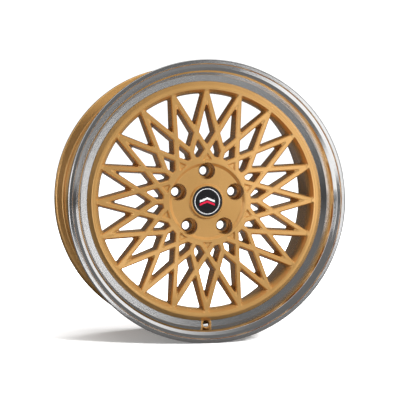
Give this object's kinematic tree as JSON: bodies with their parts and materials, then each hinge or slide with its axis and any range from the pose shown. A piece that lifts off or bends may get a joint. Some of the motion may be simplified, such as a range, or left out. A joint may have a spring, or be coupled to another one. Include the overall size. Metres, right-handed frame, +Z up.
{
  "type": "wheel rim",
  "caption": "Modular forged racing wheel rim: gold crossing-spoke mesh centre, polished stepped lip, gold barrel and snap-in centre cap.",
  "frame": {"origin": "centre of the wheel: on the spin axis, midway between the outer faces of the front and rear flanges", "axes": "Y is the spin axis, the outboard face looks towards -Y, +Z is up through a lug position and a mesh node with the valve hole at -Z"},
  "size_m": [0.4966, 0.228, 0.4966],
  "materials": {
    "gold_paint": "satin gold metallic paint on forged aluminium, with a clear coat",
    "polished_aluminium": "turned and polished bare aluminium with fine lathe lines",
    "bare_steel": "machined bare steel",
    "zinc_plate": "zinc plated steel",
    "spring_steel": "oiled spring wire",
    "black_plastic": "gloss black moulded plastic",
    "emblem_black": null,
    "silver_trim": "bright plated trim",
    "seal_rubber": "black O-ring rubber"
  },
  "bodies": {
    "wheel": {"centre": "gold_paint", "outer_rim_half": "polished_aluminium", "inner_rim_half": "gold_paint", "rim_seal_ring": "seal_rubber", "spigot_ring": "black_plastic", "assembly_bolt_01": "zinc_plate", "assembly_bolt_02": "zinc_plate", "assembly_bolt_03": "zinc_plate", "assembly_bolt_04": "zinc_plate", "assembly_bolt_05": "zinc_plate", "assembly_bolt_06": "zinc_plate", "assembly_bolt_07": "zinc_plate", "assembly_bolt_08": "zinc_plate", "assembly_bolt_09": "zinc_plate", "assembly_bolt_10": "zinc_plate", "assembly_bolt_11": "zinc_plate", "assembly_bolt_12": "zinc_plate", "assembly_bolt_13": "zinc_plate", "assembly_bolt_14": "zinc_plate", "assembly_bolt_15": "zinc_plate", "assembly_bolt_16": "zinc_plate", "assembly_bolt_17": "zinc_plate", "assembly_bolt_18": "zinc_plate", "assembly_bolt_19": "zinc_plate", "assembly_bolt_20": "zinc_plate", "seat_insert_1": "bare_steel", "seat_insert_2": "bare_steel", "seat_insert_3": "bare_steel", "seat_insert_4": "bare_steel", "seat_insert_5": "bare_steel"},
    "cap": {"cap_shell": "black_plastic", "cap_trim_ring": "silver_trim", "cap_emblem": "emblem_black", "cap_clip_ring": "spring_steel"}
  },
  "joints": [
    {"name": "cap_pull", "type": "slide", "parent": "wheel", "child": "cap", "axis": [0, -1, 0], "range_m": [0, 0.04]}
  ]
}
